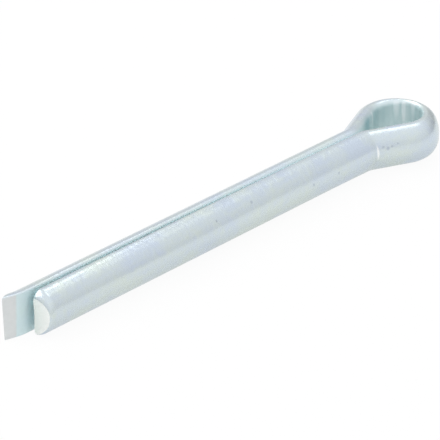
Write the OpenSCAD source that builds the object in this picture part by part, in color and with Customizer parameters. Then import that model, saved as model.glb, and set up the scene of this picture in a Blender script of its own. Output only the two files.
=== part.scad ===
// Cotter pin: half-round wire folded flat to flat, a teardrop eye at the fold, one leg longer.
// The pin lies on its side: tips at -X, eye at +X, the eye's opening looking up along Z.
// Its pieces are drawn from the throat, where the two flats part to go round the eye. Units: mm.

/* [Wire] */
// Diameter of the shank, both halves together
pin_d = 5.85; // [2.5:0.1:13]
// Gap left between the two flats where the legs lie together
split_gap = 0.1; // [0.05:0.01:0.4]
// Rounding along the two long edges of the wire
edge_r = 0.32; // [0.1:0.01:0.8]
// Flat rolled on the top and bottom of the wire, taken off the radius
edge_flat = 0.05; // [0.02:0.01:0.2]
// How much thinner, all round, the wire is drawn wherever it is bent
bend_draw = 0.01; // [0.005:0.005:0.05]

/* [Legs] */
// Short leg, from the throat to its cut end
short_leg = 61.5; // [15:0.5:140]
// How much further the long leg runs
overhang = 4.0; // [1:0.1:8]
// Distance from the throat to where the short leg starts to stand away
open_start = 7; // [3:0.5:30]
// Angle the short leg stands away from the long one
open_angle = 0.75; // [0.2:0.1:6]
// Radius of that gentle bend
open_bend_r = 60; // [20:1:200]
// Bevel round the cut end of the short leg
end_bevel = 0.25; // [0.1:0.05:1]

/* [Long leg's tip] */
// Angle the tip is bent outward, to let the legs be prised apart
flare_angle = 16; // [3:1:30]
// Radius of the bend behind the tip
flare_r = 8; // [5:0.5:30]
// Straight length of the tip, measured on its flat
tip_length = 1.6; // [1:0.1:8]
// Mitre on the round side of the tip
tip_mitre = 55; // [20:1:65]
// Lean of the shear cut, top to bottom
tip_lean = 4; // [0:0.5:10]

/* [Eye] */
// Width across the inside of the eye
eye_width = 6.3; // [3:0.1:14]
// Wall at the far end of the eye, where the bend has drawn the wire thin
eye_end_wall = 1.8; // [1:0.05:4]
// Angle each side of the eye makes with the shank
eye_angle = 27; // [18:1:40]
// Bend radius of the wire's centre line at the throat
throat_r = 5.6; // [4:0.1:15]

/* [Colour] */
// Colour of the zinc
zinc = "#c9d2d8";

/* [Hidden] */
$fn = 96;

// Lengths are kept to a tenth of a micron, so that neighbouring pieces meet exactly.
function fine(length) = round(length * 10000) / 10000;

wire_r = pin_d / 2;
flat_n = split_gap / 2;
half_h = wire_r - edge_flat;
path_r = eye_width / 2 - flat_n;
eye_x = (path_r + throat_r * (1 - cos(eye_angle))) / sin(eye_angle);
side_len = fine(eye_x * cos(eye_angle) - throat_r * sin(eye_angle));
// The outside of the eye turns about a point set back from the inside's, so the wall thins.
set_back = (wire_r - flat_n - eye_end_wall) / (1 + sin(eye_angle));
lead = fine(set_back * cos(eye_angle));
outer_path_r = fine(path_r - set_back * sin(eye_angle));
flare_len = flare_r * flare_angle * PI / 180;
long_run = fine(short_leg + overhang - tip_length - flare_len);
// The origin is halfway between the ends, on the surface the pin lies on.
eye_end = eye_x - set_back + outer_path_r + wire_r;
tip_reach = tip_length + (half_h - edge_r) * tan(tip_lean) / cos(tip_mitre);
tip_end = long_run + tip_reach * cos(flare_angle) + (flare_r - flat_n) * sin(flare_angle);
spare = 0.3;
over = 2 * short_leg;

// One corner to be taken off to round a long edge of the wire, in section.
module corner(up, draw) {
    translate([flat_n + draw + edge_r, up * (half_h - draw - edge_r)]) difference() {
        translate([-edge_r - spare, up > 0 ? 0 : -edge_r - spare])
            square([edge_r + spare, edge_r + spare]);
        circle(r = edge_r);
    }
}

// Section of the wire's flat and rolled edges, run out past its round side.
// In every section x is the way out from the shank's axis and y is up, and draw is how
// much the section is thinned all round.
module inner_section(draw) {
    difference() {
        translate([flat_n + draw, draw - half_h]) square([wire_r + spare, 2 * (half_h - draw)]);
        corner(1, draw);
        corner(-1, draw);
    }
}

// Section of the wire's round side, run in past its flat.
module outer_section(draw) {
    intersection() {
        circle(r = wire_r - draw);
        translate([-spare, -over]) square([over, 2 * over]);
    }
}

module wire_section(draw) {
    intersection() {
        outer_section(draw);
        inner_section(draw);
    }
}

// Stands a section up, to be drawn out along +X with its round side to +Y.
module along(length) {
    rotate([90, 0, 90]) linear_extrude(height = length) children();
}

module straight(length, draw = 0) {
    along(length) wire_section(draw);
}

// Bend to the round side from the origin, with what comes after it as children.
// It starts a little early and is trimmed back to a true face at X = 0.
module bent(radius, angle) {
    intersection() {
        translate([0, radius, 0]) rotate([0, 0, angle]) translate([0, -radius, 0]) {
            translate([0, radius, 0]) rotate_extrude(start = -92 - angle, angle = angle + 2)
                translate([radius, 0]) rotate(180) wire_section(bend_draw);
            children();
        }
        translate([0, -over, -over]) cube(2 * over);
    }
}

// Long leg along +X: straight, a bend outward, and a mitred tip.
module long_leg() {
    straight(long_run);
    translate([long_run, 0, 0]) bent(flare_r, flare_angle) difference() {
        straight(tip_length + 1, bend_draw);
        translate([tip_length, flat_n, 0]) rotate([0, -tip_lean, tip_mitre])
            translate([0, -over, -over]) cube(2 * over);
    }
}

// Short leg along +X: with the long leg at first, then standing away to its square end.
module short_leg_wire() {
    run = fine(short_leg - open_start - open_bend_r * open_angle * PI / 180);
    edge = wire_r - end_bevel;
    straight(open_start);
    translate([open_start, 0, 0]) bent(open_bend_r, open_angle) difference() {
        straight(run, bend_draw);
        translate([run, 0, 0]) rotate([0, 90, 0]) rotate_extrude()
            polygon([[edge, 0], [wire_r + spare, -end_bevel - spare],
                [wire_r + spare, spare], [edge, spare]]);
    }
}

// The fold, from the end of the eye's straight side: the flat turns about one point and
// the round side about another.
module fold() {
    turn = 93 + eye_angle;
    intersection() {
        union() {
            translate([side_len - lead, 0, 0]) along(lead) inner_section(bend_draw);
            translate([side_len, -path_r, 0]) rotate_extrude(start = 90 - turn, angle = turn)
                translate([path_r, 0]) inner_section(bend_draw);
        }
        translate([side_len - lead, -outer_path_r, 0])
            rotate_extrude(start = 90 - turn, angle = turn + 5)
                translate([outer_path_r, 0]) outer_section(bend_draw);
    }
}

// Half of the eye, from the throat to the end of the fold.
module half_eye() {
    intersection() {
        bent(throat_r, eye_angle) {
            straight(side_len - lead, bend_draw);
            fold();
        }
        translate([-over, 0, -over]) cube(2 * over);
    }
}

module split_pin() {
    color(zinc) translate([fine((tip_end - eye_end) / 2), 0, half_h]) {
        half_eye();
        rotate([180, 0, 0]) half_eye();
        rotate([0, 180, 0]) long_leg();
        rotate([0, 0, 180]) short_leg_wire();
    }
}

split_pin();
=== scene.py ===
import bpy
import bmesh
import math
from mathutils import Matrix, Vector


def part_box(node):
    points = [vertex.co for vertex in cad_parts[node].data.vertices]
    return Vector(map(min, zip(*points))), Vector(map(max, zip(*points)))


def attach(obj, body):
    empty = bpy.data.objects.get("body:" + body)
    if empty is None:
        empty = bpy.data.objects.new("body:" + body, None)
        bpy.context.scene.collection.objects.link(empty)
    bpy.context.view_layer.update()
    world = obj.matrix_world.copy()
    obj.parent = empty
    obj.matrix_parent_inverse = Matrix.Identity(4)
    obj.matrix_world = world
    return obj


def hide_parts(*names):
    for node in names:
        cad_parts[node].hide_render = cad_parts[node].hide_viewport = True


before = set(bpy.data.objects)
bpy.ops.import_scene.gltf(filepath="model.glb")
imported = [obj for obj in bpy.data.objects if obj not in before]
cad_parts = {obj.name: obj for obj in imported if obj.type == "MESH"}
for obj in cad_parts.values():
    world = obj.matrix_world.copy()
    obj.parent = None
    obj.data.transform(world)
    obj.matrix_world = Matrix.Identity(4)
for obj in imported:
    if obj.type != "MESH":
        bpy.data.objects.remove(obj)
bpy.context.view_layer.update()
scene = bpy.context.scene
mm = 0.001
print("frame loaded")


# small helpers for node trees
class Socket:
    def __init__(self, tree, out):
        self.tree, self.out = tree, out

    def maths(self, op, other, flip=False):
        pair = (other, self) if flip else (self, other)
        return self.tree.node("ShaderNodeMath", {"operation": op}, pair)

    def __add__(self, other):
        return self.maths("ADD", other)

    def __radd__(self, other):
        return self.maths("ADD", other, True)

    def __sub__(self, other):
        return self.maths("SUBTRACT", other)

    def __rsub__(self, other):
        return self.maths("SUBTRACT", other, True)

    def __mul__(self, other):
        return self.maths("MULTIPLY", other)

    def __rmul__(self, other):
        return self.maths("MULTIPLY", other, True)


class NodeTree:
    def __init__(self, owner):
        owner.use_nodes = True
        self.nodes, self.links = owner.node_tree.nodes, owner.node_tree.links
        self.nodes.clear()

    def node(self, kind, settings=None, inputs=(), output=0):
        n = self.nodes.new(kind)
        for key, value in (settings or {}).items():
            setattr(n, key, value)
        for key, value in inputs.items() if isinstance(inputs, dict) else enumerate(inputs):
            if isinstance(value, Socket):
                self.links.new(value.out, n.inputs[key])
            else:
                n.inputs[key].default_value = value
        return Socket(self, n.outputs[output]) if len(n.outputs) else n


# one half-round wire, folded flat to flat, drawn from the throat along both legs and round the eye
# lengths in mm, angles in degrees, places measured from the throat
wire = {
    "shankWide": 5.85,
    "legGap": 0.1,
    "rolledFlat": 0.05,             # taken off at top and bottom
    "sectionRound": 0.32,           # corners of the section as it is first drawn
    "shortLeg": 61.5,
    "longLegMore": 4.0,
    "openStart": 7.0,               # the short leg runs straight this far, then bends open
    "openAngle": 0.75,
    "openBend": 60.0,
    "nearBend": 4.41,
    "farBend": 4.52,
    "farBendBack": 0.72,            # the far bend starts this much nearer the tips
    "eyeReach": 13.112,
    "eyeAlong": 7.876,              # middle of the fold
    "eyeAside": 0.023,
    "eyeRound": 2.977,
    "flankWall": 2.756,
    "eyeEndWall": 1.734,
    "wallSpread": 0.842,
    "foldFullness": 2.242,          # 2 is a round outside, more is squarer
    "fullnessSpread": 1.6,
    "fullnessFade": 0.8,
    "edgeRound": 0.38,              # finished corners: free ends, throat, flanks, end of the eye
    "throatRound": 0.78,
    "nearRound": 0.9,
    "farRound": 0.867,
    "eyeEndRound": 0.75,
    "roundFade": 33.0,              # the throat's rounding fades into the free ends' over this length
    "shortLegTwist": 3.0,
    "twistRun": (25.0, 30.0, 0.8),  # start, length and easing of the twist
    "endRoll": (1.16, 0.96),        # how deep the short end's top is rolled over, and how far along
    "rollEase": (0.7, 1.2),         # share and power of its gentle part
    "endBevel": (0.28, 0.3),        # the same for the light rounding elsewhere
    "lowBevel": 0.1,                # towards the flat the bevel is this shallow
    "bevelCentre": 1.1,
    "flareAngle": 16.0,
    "flareBend": 8.0,
    "tipLength": 1.6,
    "tipSpare": 4.5,                # drawn overlong by this, for the mitre to cut
    "tipMitre": 55.0,
    "tipLean": 2.2,
    "tipEdge": 0.06,
    "tipShrink": 0.965,             # the mitre's face inside its narrow edge
    "tipRound": (0.2, 0.1, 6.0),    # corners at the tip's top and bottom, and the length they change over
    "mitrePaleness": 0.6,           # as a sheared face, where the short end has 1
    "raysFrom": 1.2,                # the section's outline is found along rays from this depth
    # how finely it is drawn
    "sectionSides": 96,
    "cornerSegments": 6,
    "flatCuts": 19,
    "openSteps": 2,
    "bendSteps": 16,
    "foldSteps": 120,
    "flareSteps": 10,
    "endSteps": (0.16, 0.14, 0.14, 0.13, 0.12, 0.11, 0.09, 0.07, 0.06, 0.05, 0.03),
    "ringCuts": ((40, 90, 130), (6.5, 9, 16), (3.5, 6.4, 20)),    # run lengths and cuts: legs, tip, flanks
}


def smooth(t):
    t = min(1, max(0, t))
    return t * t * (3 - 2 * t)


def mixed(a, b, k):
    return a + (b - a) * k


def eyeSides():
    # slope and length of each straight flank, touching its throat bend and the fold
    w = wire
    sides = []
    for bend, along, aside in ((w["nearBend"], w["eyeAlong"], w["eyeAside"]),
                               (w["farBend"], w["eyeAlong"] + w["farBendBack"], -w["eyeAside"])):
        far, both = math.hypot(along, aside + bend), bend + w["eyeRound"]
        slope = math.asin(both / far) - math.atan2(aside + bend, along)
        sides.append((slope, math.sqrt(far ** 2 - both ** 2)))
    return sides


def squareReach(middle, c, s, radius, squareness):
    # how far a ray runs to a circle that is drawn out squarer, found by halving
    low, high = 0.0, 5.0
    for halving in range(22):
        mid = (low + high) / 2
        across, up = abs(middle + mid * c) / radius, abs(mid * s) / radius
        if across ** squareness + up ** squareness < 1:
            low = mid
        else:
            high = mid
    return low


def outline(n, z, fullR, flatN, halfH, corner, squareness):
    # moves a point of the section out or in to an outline with its own corners and squareness
    middle = wire["raysFrom"]
    length = math.hypot(n - middle, z)
    c, s = (n - middle) / length, z / length
    # the corner's arc touches the flat side at cornerZ and the outer outline at touch
    cornerX = flatN + corner
    cornerZ = math.sqrt((fullR - corner) ** 2 - cornerX ** 2)
    touch = cornerX * fullR / (fullR - corner)
    if cornerZ > halfH - corner:
        cornerZ, touch = halfH - corner, cornerX
    outer = -middle * c + math.sqrt((middle * c) ** 2 - middle ** 2 + fullR ** 2)
    if squareness > 2.001:
        square = squareReach(middle, c, s, fullR, squareness)
        outer = mixed(outer, square, smooth((middle + outer * c - touch) / wire["fullnessFade"]))
    reach = min(outer, halfH / abs(s)) if abs(s) > 1e-9 else outer
    flat = 0.0
    if c < 0 and (flatN - middle) / c < reach:
        reach, flat = (flatN - middle) / c, 1.0
    px, pz = middle + reach * c, reach * s
    if px < touch + 0.01 and abs(pz) > cornerZ:
        ox, oz = middle - cornerX, -math.copysign(cornerZ, pz)
        b, k = ox * c + oz * s, ox * ox + oz * oz - corner * corner
        if b * b > k and math.sqrt(b * b - k) - b < reach:
            reach = math.sqrt(b * b - k) - b
            px, pz = middle + reach * c, reach * s
            flat = min(1, max(0, (cornerX - px) / corner)) ** 2
    return px, pz, flat


def rollEnd(n, z, fromEnd, halfH):
    # the short end is rolled over at its top and lightly rounded elsewhere
    w = wire
    deepest, along = w["endBevel"]
    long = math.hypot(n - w["bevelCentre"], z)
    c, s = (n - w["bevelCentre"]) / long, z / long
    u = max(0, min(1, 1 - fromEnd / along))
    deep = mixed(w["lowBevel"], deepest, smooth((c + 0.3) / 0.6))
    inset = deep * (0.5 * u + 0.5 * (1 - math.sqrt(1 - u * u)))
    n, z = n - inset * c, z - inset * s
    if z > 0:
        drop, along = w["endRoll"]
        share, power = w["rollEase"]
        u = max(0, min(1, 1 - fromEnd / along))
        rolled = share * u ** power + (1 - share) * (1 - math.sqrt(1 - u * u))
        z = z * (1 - rolled * (drop - deepest) / halfH)
    return n, z


def shapeWire(pin, throat, halfH, longRun):
    # gives every point its place on the finished section, which changes along the wire
    w = wire
    rad = math.radians
    fullR, flatN = w["shankWide"] / 2, w["legGap"] / 2
    thick = fullR - flatN
    nearSlope, farSlope = (slope for slope, length in eyeSides())
    nearReach, farReach = math.pi / 2 + nearSlope, math.pi / 2 + farSlope
    openA, openB, openX = rad(w["openAngle"]), w["openBend"], -w["openStart"]
    openLong = w["openStart"] + openB * openA
    flare = rad(w["flareAngle"])
    twistStart, twistLong, twistPower = w["twistRun"]
    tipTop, tipLow, tipOver = w["tipRound"]
    flatSide = pin.data.attributes.new("flatSide", "FLOAT", "POINT")
    for i, v in enumerate(pin.data.vertices):
        x, y, z = v.co.x / mm - throat, v.co.y / mm, v.co.z / mm - halfH
        wall, square, fromEnd, twist, low = thick, 2.0, 99, 0.0, None
        turn = math.atan2(y - w["eyeAside"], x - w["eyeAlong"])
        outside = math.hypot(x - w["eyeAlong"], y - w["eyeAside"]) > w["eyeRound"]
        # foot: the nearest place on the path; way: the direction out from it
        if x > 0.5 and -nearReach - 1e-6 <= turn <= farReach + 1e-6 and outside:    # fold
            wayX, wayY = math.cos(turn), math.sin(turn)
            footX, footY = w["eyeAlong"] + w["eyeRound"] * wayX, w["eyeAside"] + w["eyeRound"] * wayY
            off = abs(turn) / (nearReach if turn < 0 else farReach)
            blend = smooth(1 - off)
            wall = mixed(w["flankWall"], w["eyeEndWall"], blend ** w["wallSpread"])
            square = mixed(2, w["foldFullness"], min(1, w["fullnessSpread"] * blend))
            side = w["nearRound"] if turn < 0 else w["farRound"]
            corner = mixed(w["eyeEndRound"], side, smooth(off))
        elif y < 0 and x > 0:    # near throat bend and flank
            k = min(1, math.atan2(x, y + w["nearBend"]) / nearSlope)
            wayX, wayY = -math.sin(k * nearSlope), -math.cos(k * nearSlope)
            n = (x * wayX + (y + w["nearBend"]) * wayY) + w["nearBend"]
            footX, footY = x - n * wayX, y - n * wayY
            wall = mixed(thick, w["flankWall"], smooth(k))
            corner = mixed(w["throatRound"], w["nearRound"], k)
        elif y > 0 and x > -w["farBendBack"]:    # far throat bend and flank
            k = min(1, math.atan2(x + w["farBendBack"], w["farBend"] - y) / farSlope)
            wayX, wayY = -math.sin(k * farSlope), math.cos(k * farSlope)
            n = ((x + w["farBendBack"]) * wayX + (y - w["farBend"]) * wayY) + w["farBend"]
            footX, footY = x - n * wayX, y - n * wayY
            wall = mixed(thick, w["flankWall"], smooth(k))
            corner = mixed(w["throatRound"], w["farRound"], k)
        elif y < 0:    # short leg
            a = max(0, min(openA, math.atan2(openX - x, y + openB)))
            wayX, wayY = math.sin(a), -math.cos(a)
            n = (x - openX) * wayX + (y + openB) * wayY + openB
            footX, footY = x - n * wayX, y - n * wayY
            along = -x if a == 0 else w["openStart"] + openB * a
            if a == openA:
                along = openLong + math.hypot(footX - openX + openB * math.sin(a),
                                              footY + openB - openB * math.cos(a))
            fromEnd = w["shortLeg"] - along
            corner = mixed(w["edgeRound"], w["throatRound"], max(0, 1 - along / w["roundFade"]))
            twisted = max(0, min(1, (along - twistStart) / twistLong)) ** twistPower
            twist = rad(w["shortLegTwist"]) * twisted
        else:    # long leg and its bent tip
            a = max(0, min(flare, math.atan2(-longRun - x, w["flareBend"] - y)))
            wayX, wayY = math.sin(a), math.cos(a)
            n = (x + longRun) * wayX + (y - w["flareBend"]) * wayY + w["flareBend"]
            footX, footY = x - n * wayX, y - n * wayY
            corner = mixed(w["edgeRound"], w["throatRound"], max(0, 1 + x / w["roundFade"]))
            nearTip = smooth((-x - longRun + tipOver) / tipOver)
            low = mixed(corner, tipLow, nearTip)
            corner = mixed(corner, tipTop, nearTip)
        if z < 0 and low:
            corner = low
        n = (x - footX) * wayX + (y - footY) * wayY
        n, z, flat = outline(n, z, fullR, flatN, halfH, corner, square)
        if fromEnd < w["endRoll"][1]:
            n, z = rollEnd(n, z, fromEnd, halfH)
        n = flatN + (n - flatN) * wall / thick
        n, z = n * math.cos(twist) - z * math.sin(twist), n * math.sin(twist) + z * math.cos(twist)
        z = max(-halfH, z)
        v.co = ((throat + footX + n * wayX) * mm, (footY + n * wayY) * mm, (z + halfH) * mm)
        flatSide.data[i].value = flat


def drawWire():
    w = wire
    rad = math.radians
    wireR, flatN = w["shankWide"] / 2, w["legGap"] / 2
    halfH = wireR - w["rolledFlat"]
    (nearSlope, nearLong), (farSlope, farLong) = eyeSides()
    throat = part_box("split_pin")[1].x / mm - w["eyeReach"]

    def at(x, y, z=0.0):
        return Vector(((throat + x) * mm, y * mm, (z + halfH) * mm))

    def pull(direction, length):
        step = Vector((math.cos(direction), math.sin(direction), 0)) * length * mm
        bpy.ops.mesh.extrude_region_move(TRANSFORM_OT_translate={"value": step})

    def bendRound(x, y, angle, steps):
        bpy.ops.mesh.spin(steps=steps, angle=-angle, center=at(x, y), axis=(0, 0, 1))

    def pick(kind, test):
        # selects the points, edges or faces that pass the test, and nothing else
        bpy.ops.mesh.select_mode(type=kind)
        bpy.ops.mesh.select_all(action="DESELECT")
        m = bmesh.from_edit_mesh(pin.data)
        for part in {"VERT": m.verts, "EDGE": m.edges, "FACE": m.faces}[kind]:
            part.select = test(part)
        m.select_flush_mode()
        bmesh.update_edit_mesh(pin.data)

    # section: a disc cut to its half, rolled flat at top and bottom, the flat side's corners rounded
    bpy.ops.object.select_all(action="DESELECT")
    bpy.ops.mesh.primitive_circle_add(vertices=w["sectionSides"], radius=wireR * mm, fill_type="NGON",
                                      location=at(0, 0), rotation=(0, math.pi / 2, 0))
    pin = bpy.context.object
    pin.name = "wirePin"
    bpy.ops.object.transform_apply(location=True, rotation=True, scale=True)
    bpy.ops.object.mode_set(mode="EDIT")
    for spot, out in ((at(0, -flatN), (0, 1, 0)), (at(0, 0, halfH), (0, 0, 1)),
                      (at(0, 0, -halfH), (0, 0, -1))):
        bpy.ops.mesh.select_all(action="SELECT")
        bpy.ops.mesh.bisect(plane_co=spot, plane_no=out, clear_outer=True, threshold=1e-7)
    pick("VERT", lambda v: abs(v.co.y + flatN * mm) < 1e-6
         and abs(abs(v.co.z - halfH * mm) - halfH * mm) < 1e-6)
    bpy.ops.mesh.bevel(affect="VERTICES", offset=w["sectionRound"] * mm, segments=w["cornerSegments"])
    pick("EDGE", lambda e: e.calc_length() > 2 * mm)
    bpy.ops.mesh.subdivide(number_cuts=w["flatCuts"])

    # short leg, from the throat out to its end, with close rings where the end is rolled over
    opening = rad(w["openAngle"])
    opened = math.pi + opening
    bpy.ops.mesh.select_mode(type="FACE")
    bpy.ops.mesh.select_all(action="SELECT")
    pull(math.pi, w["openStart"])
    bendRound(-w["openStart"], -w["openBend"], opening, w["openSteps"])
    pull(opened, w["shortLeg"] - w["openStart"] - w["openBend"] * opening - sum(w["endSteps"]))
    for step in w["endSteps"]:
        pull(opened, step)
    # round the eye and back to the throat
    pick("FACE", lambda f: len(f.verts) > 4 and abs(f.calc_center_median().x - throat * mm) < 1e-5)
    bendRound(0, -w["nearBend"], -nearSlope, w["bendSteps"])
    pull(-nearSlope, nearLong)
    bendRound(w["eyeAlong"], w["eyeAside"], math.pi + nearSlope + farSlope, w["foldSteps"])
    pull(math.pi + farSlope, farLong)
    bendRound(-w["farBendBack"], w["farBend"], -farSlope, w["bendSteps"])
    # long leg, its bent tip left overlong
    flare = rad(w["flareAngle"])
    longRun = w["shortLeg"] + w["longLegMore"] - w["tipLength"] - w["flareBend"] * flare
    pull(math.pi, longRun - w["farBendBack"])
    bendRound(-longRun, w["flareBend"], -flare, w["flareSteps"])
    pull(math.pi - flare, w["tipLength"] + w["tipSpare"])

    # rings along the straight runs
    for shortest, longest, cuts in w["ringCuts"]:
        pick("EDGE", lambda e: shortest * mm < e.calc_length() < longest * mm
             and abs(e.verts[0].co.z - e.verts[1].co.z) < 1e-7
             and abs(e.verts[0].co.x - e.verts[1].co.x) > 2 * mm)
        bpy.ops.mesh.subdivide(number_cuts=cuts)
    bpy.ops.object.mode_set(mode="OBJECT")
    print("wire drawn", len(pin.data.vertices), len(pin.data.polygons))
    shapeWire(pin, throat, halfH, longRun)
    print("wire shaped")

    # mitre across the tip, leaning a little, with a narrow edge left by the shears
    flatR = w["flareBend"] - flatN
    tipX = -(longRun + flatR * math.sin(flare) + w["tipLength"] * math.cos(flare))
    tipY = w["flareBend"] - flatR * math.cos(flare) + w["tipLength"] * math.sin(flare)
    lean, mitre = rad(w["tipLean"]), rad(w["tipMitre"]) + flare
    normal = Vector((-math.cos(lean) * math.cos(mitre), math.cos(lean) * math.sin(mitre), -math.sin(lean)))
    edge = normal * w["tipEdge"] * mm
    bpy.ops.object.mode_set(mode="EDIT")
    pick("FACE", lambda f: f.calc_center_median().x < (throat - longRun + 3) * mm
         and f.calc_center_median().y > 0)
    bpy.ops.mesh.bisect(plane_co=at(tipX, tipY) - edge, plane_no=normal,
                        use_fill=True, clear_outer=True, threshold=1e-7)
    bpy.ops.mesh.select_all(action="DESELECT")
    bm = bmesh.from_edit_mesh(pin.data)
    mitred = max((f for f in bm.faces if f.calc_center_median().y > 0), key=lambda f: len(f.verts))
    mitred.select = True
    bmesh.update_edit_mesh(pin.data)
    bpy.ops.mesh.extrude_region_move(TRANSFORM_OT_translate={"value": edge})
    rim = [v.co for v in bmesh.from_edit_mesh(pin.data).verts if v.select]
    bpy.ops.transform.resize(value=(w["tipShrink"],) * 3, center_override=sum(rim, Vector()) / len(rim))
    bpy.ops.mesh.select_all(action="SELECT")
    bpy.ops.mesh.normals_make_consistent(inside=False)
    bpy.ops.object.mode_set(mode="OBJECT")

    # the two sheared faces, the only ones with many sides, are marked for the finish
    cutEnd = pin.data.attributes.new("cutEnd", "FLOAT", "CORNER")
    for f in pin.data.polygons:
        if len(f.vertices) > 20:
            for corner in f.loop_indices:
                cutEnd.data[corner].value = w["mitrePaleness"] if f.center.y > 0 else 1.0
    return pin


pin = drawWire()
bpy.ops.object.shade_smooth_by_angle(angle=math.radians(32))

# zinc plate with a clear blue passivation, duller on the flat sides, bare and pale where the wire was
# sheared, with painted light and shade: lighter flats, a greyer tip, a teal eye with pale and dark streaks,
# dark pits and a pale crease
zinc = {
    "coolTint": (0.60, 0.68, 0.755),
    "warmTint": (0.655, 0.73, 0.695),
    "mottling": (2.4, 1.0, 1.2),        # share of clouds, drawing streaks and fine grain in the tint
    # noises by scale, detail and stretch
    "clouds": (230.0, 3.0),
    "streaks": (900.0, 2.0, (0.12, 1.0, 1.0)),
    "grains": (1500.0, 3.0),
    "paintedStreaks": (1100.0, 1.0, (1.0, 1.0, 0.06)),
    # painted light: the legs' flats, in the shaded gap between the legs, are painted lighter and bluer
    "flatPaintedLight": (0.80, 0.91, 0.915),
    # painted reflection: beyond its bend the tip's flat is painted greyer
    "tipPaintedReflection": (0.80, 0.80, 0.79),
    "tipFrom": (-0.0370, -0.0374),
    # painted reflection: inside the eye the flats are painted teal, the colour of light bounced between its
    # walls
    "eyePaintedReflection": (0.655, 0.775, 0.78),
    "eyeFrom": (0.0275, 0.029),
    "shearedEnd": (0.90, 0.93, 0.90),
    "metallic": 1.0,
    "roughness": 0.27,
    "flatRoughness": (0.5, 0.28),       # added on the legs' flats, and inside the eye
    "cutRoughness": 0.2,
    "grain": 0.12,
    "bump": (0.25, 0.0002),
    "relief": (0.5, 0.5, 0.4),          # grain, clouds, streaks
    "flatShare": 0.8,
    "tipShare": 0.8,
    "paintedStreakShare": (0.45, 0.9, 0.8),       # the noise's middle, and the share of painted highlight and of painted shade streaks
    # pale and dark streaks inside the eye are a painted highlight and a painted shade
    "paintedHighlight": (0.95, 1.0, 1.0),
    "paintedShade": (0.42, 0.60, 0.63),
    # marks of their own, each by place and size in mm
    # painted shade at a given place inside the eye
    "paintedShadeMarks": {
        "places": ((30.2, 1.77, 3.0, 1.5),),
        "stretch": (1, 1, 0.1), "sharp": 0.2, "share": 0.85,
    },
    # painted highlights near the top of the eye's inside, where its rounded rim catches light
    "paintedHighlightMarks": {
        "places": ((36.9, 1.36, 4.6, 0.38), (37.25, 0.1, 6.6, 0.6), (36.35, 2.1, 6.3, 0.6),
                   (32.2, 2.5, 5.4, 0.34)),
        "stretch": (1, 1, 0.15), "sharp": 0.4, "share": 0.8,
    },
    # the pits' dark tint is painted shade in the dents, over their bumps
    "pits": {
        "places": ((14.6, -2.97, 3.16, 0.28), (19.43, -2.92, 3.09, 0.24), (3.37, -2.52, 4.66, 0.26),
                   (-3.42, -2.7, 4.54, 0.22), (27.65, -3.17, 3.81, 0.25), (28.19, -3.44, 3.6, 0.32),
                   (28.75, -3.6, 3.72, 0.26), (29.5, -3.9, 3.9, 0.2)),
        "stretch": (1, 1, 1), "sharp": 0.4, "share": 0.42, "relief": -0.6, "tint": (0.33, 0.38, 0.47),
    },
    "crease": {    # pressed in where the near side starts to open, its pale tint a painted highlight along it
        "places": ((26.95, -2.8, 3.2, 0.2),),
        "stretch": (1, 0.3, 0.18), "sharp": 0.5, "share": 0.8, "relief": 0.4, "tint": (0.92, 0.95, 0.93),
    },
}


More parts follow.
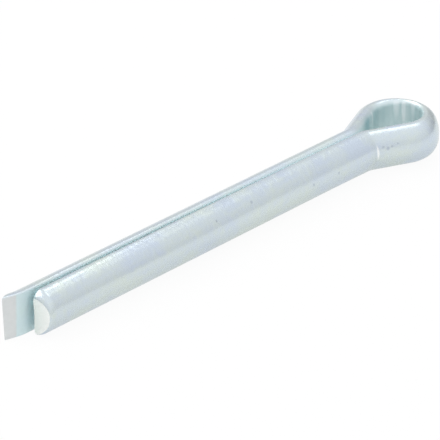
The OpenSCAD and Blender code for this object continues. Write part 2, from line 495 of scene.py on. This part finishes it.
def makeZinc():
    material = bpy.data.materials.new("zincPlate")
    m = NodeTree(material)
    coords = m.node("ShaderNodeTexCoord", output="Object")
    lengthways = m.node("ShaderNodeSeparateXYZ", {}, [coords])
    flat = m.node("ShaderNodeAttribute", {"attribute_name": "flatSide"}, output="Fac")
    cut = m.node("ShaderNodeAttribute", {"attribute_name": "cutEnd"}, output="Fac")

    def noise(scale, detail, stretch=None):
        where = m.node("ShaderNodeMapping", {}, {"Vector": coords, "Scale": stretch}) if stretch else coords
        return m.node("ShaderNodeTexNoise", {}, {"Vector": where, "Scale": scale, "Detail": detail})

    def fade(value, start, end):
        ends = {"Value": value, "From Min": start, "From Max": end}
        return m.node("ShaderNodeMapRange", {"interpolation_type": "SMOOTHSTEP"}, ends)

    def blend(amount, first, second):
        # a mix node takes two colours at inputs 6 and 7, and gives one at output 2
        first, second = ((*c, 1) if isinstance(c, tuple) else c for c in (first, second))
        return m.node("ShaderNodeMix", {"data_type": "RGBA"}, {0: amount, 6: first, 7: second}, output=2)

    def spots(mark):
        space = m.node("ShaderNodeVectorMath", {"operation": "MULTIPLY"}, [coords, mark["stretch"]])
        total = 0
        for *place, size in mark["places"]:
            spot = tuple(c * k * mm for c, k in zip(place, mark["stretch"]))
            far = m.node("ShaderNodeVectorMath", {"operation": "DISTANCE"}, [space, spot], output="Value")
            total = fade(far, size * mm, size * mark["sharp"] * mm) + total
        return total

    fine = noise(*zinc["grains"])
    cloud = noise(*zinc["clouds"])
    streak = noise(*zinc["streaks"])
    paintedStreakNoise = noise(*zinc["paintedStreaks"])
    cloudy, streaky, grainy = zinc["mottling"]
    warm = (cloud - 0.5) * cloudy + (streak - 0.5) * streaky + (fine - 0.5) * grainy + 0.5
    tint = blend(warm, zinc["coolTint"], zinc["warmTint"])
    # painted light on the flats
    tint = blend(flat * zinc["flatShare"], tint, zinc["flatPaintedLight"])
    # painted reflection on the tip's flat
    tint = blend(flat * fade(lengthways, *zinc["tipFrom"]) * zinc["tipShare"], tint, zinc["tipPaintedReflection"])
    tint = blend(cut, tint, zinc["shearedEnd"])

    # painted reflection: teal inside the eye
    inside = flat * fade(lengthways, *zinc["eyeFrom"])
    tint = blend(inside, tint, zinc["eyePaintedReflection"])
    # painted highlight and painted shade streaks inside the eye
    streakMiddle, lightShare, darkShare = zinc["paintedStreakShare"]
    lighter = ((paintedStreakNoise - streakMiddle) * lightShare).maths("MAXIMUM", 0.0)
    darker = ((streakMiddle - paintedStreakNoise) * darkShare).maths("MAXIMUM", 0.0)
    tint = blend(inside * lighter, tint, zinc["paintedHighlight"])
    tint = blend(inside * darker, tint, zinc["paintedShade"])
    for paintedStreaks, colour in (("paintedShadeMarks", "paintedShade"), ("paintedHighlightMarks", "paintedHighlight")):
        tint = blend(inside * spots(zinc[paintedStreaks]) * zinc[paintedStreaks]["share"], tint, zinc[colour])

    grainRelief, cloudRelief, streakRelief = zinc["relief"]
    height = fine * grainRelief + cloud * cloudRelief + streak * streakRelief
    # the pits' dark tint is painted shade, the crease's pale tint a painted highlight, each over its bump
    for mark in (zinc["pits"], zinc["crease"]):
        found = spots(mark)
        tint = blend(found * mark["share"], tint, mark["tint"])
        height = height + found * mark["relief"]

    onLegs, inEye = zinc["flatRoughness"]
    rough = zinc["roughness"] + flat * onLegs + inside * (inEye - onLegs) + cut * zinc["cutRoughness"]
    rough = rough + (fine - 0.5) * zinc["grain"] * 2 + (cloud - 0.5) * zinc["grain"]
    strength, distance = zinc["bump"]
    bump = m.node("ShaderNodeBump", {}, {"Height": height, "Strength": strength, "Distance": distance})
    shader = m.node("ShaderNodeBsdfPrincipled", {}, {
        "Base Color": tint, "Metallic": zinc["metallic"], "Roughness": rough, "Normal": bump})
    m.node("ShaderNodeOutputMaterial", {}, {"Surface": shader})
    return material


pin.data.materials.append(makeZinc())
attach(pin, "root")
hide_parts("split_pin")
print("zinc material made")

# studio: pale floor, white to the camera, soft light all round and three soft lamps
studio = {
    "floorSize": 2.0,
    "floorColour": (0.9, 0.89, 0.88),
    "floorGlow": (0.93, 0.6),           # how much of it is plain white to the camera, and in reflections
    "worldColour": (0.985, 0.985, 1.02),
    "worldLevel": 0.8,
    "worldUp": 0.28,                    # brighter overhead
    "worldBehind": -0.07,               # a little darker beyond the long leg
    "worldEnd": (0.7, -1.0),            # darker beyond the eye's end, from this slant on
    # name: place, aim, size and power
    "lamps": {
        "softboxAbove": ((0.28, -0.06, 0.53), (0, 0, 0), (0.18, 0.18), 0.105),
        "softboxBehind": ((0.0464, 0.0275, 0.0874), (-0.036, 0, 0.005), (0.02, 0.015), 0.0019),
        "softboxEnd": ((-0.245, 0.413, 0.511), (-0.035, 0, 0), (0.5, 0.5), 1.25),
    },
}


def makeFloor():
    bpy.ops.object.select_all(action="DESELECT")
    bpy.ops.mesh.primitive_plane_add(size=studio["floorSize"], location=(0, 0, 0))
    floor = bpy.context.object
    floor.name = "studioFloor"
    material = bpy.data.materials.new("floorPaper")
    m = NodeTree(material)
    seen, mirrored = (m.node("ShaderNodeLightPath", output=k) for k in ("Is Camera Ray", "Is Glossy Ray"))
    paper = m.node("ShaderNodeBsdfDiffuse", {}, {"Color": (*studio["floorColour"], 1)})
    glow = m.node("ShaderNodeEmission", {}, {"Color": (1, 1, 1, 1), "Strength": 1.0})
    glowing = seen * studio["floorGlow"][0] + mirrored * studio["floorGlow"][1]
    shader = m.node("ShaderNodeMixShader", {}, [glowing, paper, glow])
    m.node("ShaderNodeOutputMaterial", {}, {"Surface": shader})
    floor.data.materials.append(material)


def makeWorld():
    world = bpy.data.worlds.new("studioWorld")
    scene.world = world
    m = NodeTree(world)
    way = m.node("ShaderNodeTexCoord", output="Generated")
    end, behind, up = (m.node("ShaderNodeSeparateXYZ", {}, [way], output=k) for k in "XYZ")
    level = studio["worldLevel"] + up * studio["worldUp"] + behind * studio["worldBehind"]
    slant, darker = studio["worldEnd"]
    level = level + (end - slant).maths("MAXIMUM", 0.0) * darker
    seen = m.node("ShaderNodeLightPath", output="Is Camera Ray")
    light = m.node("ShaderNodeBackground", {}, {"Color": (*studio["worldColour"], 1), "Strength": level})
    plain = m.node("ShaderNodeBackground", {}, {"Color": (1, 1, 1, 1), "Strength": 1.0})
    shader = m.node("ShaderNodeMixShader", {}, [seen, light, plain])
    m.node("ShaderNodeOutputWorld", {}, {"Surface": shader})


def addLamp(name, place, aim, size, power):
    data = bpy.data.lights.new(name, "AREA")
    data.shape, data.energy = "RECTANGLE", power
    data.size, data.size_y = size
    lamp = bpy.data.objects.new(name, data)
    scene.collection.objects.link(lamp)
    lamp.location = place
    lamp.rotation_euler = (Vector(aim) - Vector(place)).to_track_quat("-Z", "Y").to_euler()


makeFloor()
makeWorld()
for name, settings in studio["lamps"].items():
    addLamp(name, *settings)
print("studio set")

# long lens from the tips' side, looking down at the eye's opening
camera = {
    "azimuth": -49.26,
    "elevation": 24.94,
    "distance": 1.8,
    "viewWidth": 0.05407,
    "across": 0.00018,
    "up": 0.0024,
    "sensor": 36,
    "clip": (0.05, 20),
}


def makeCamera():
    a, e = math.radians(camera["azimuth"]), math.radians(camera["elevation"])
    right = Vector((math.cos(a), math.sin(a), 0))
    back = Vector((math.sin(a) * math.cos(e), -math.cos(a) * math.cos(e), math.sin(e)))
    up = back.cross(right)
    data = bpy.data.cameras.new("viewCamera")
    cam = bpy.data.objects.new("viewCamera", data)
    scene.collection.objects.link(cam)
    data.sensor_width = camera["sensor"]
    data.lens = camera["sensor"] * camera["distance"] / camera["viewWidth"]
    data.clip_start, data.clip_end = camera["clip"]
    cam.location = right * camera["across"] + up * camera["up"] + back * camera["distance"]
    cam.rotation_mode = "QUATERNION"
    cam.rotation_quaternion = back.to_track_quat("Z", "Y")
    scene.camera = cam


makeCamera()
scene.view_settings.view_transform = "Standard"
print("camera placed")
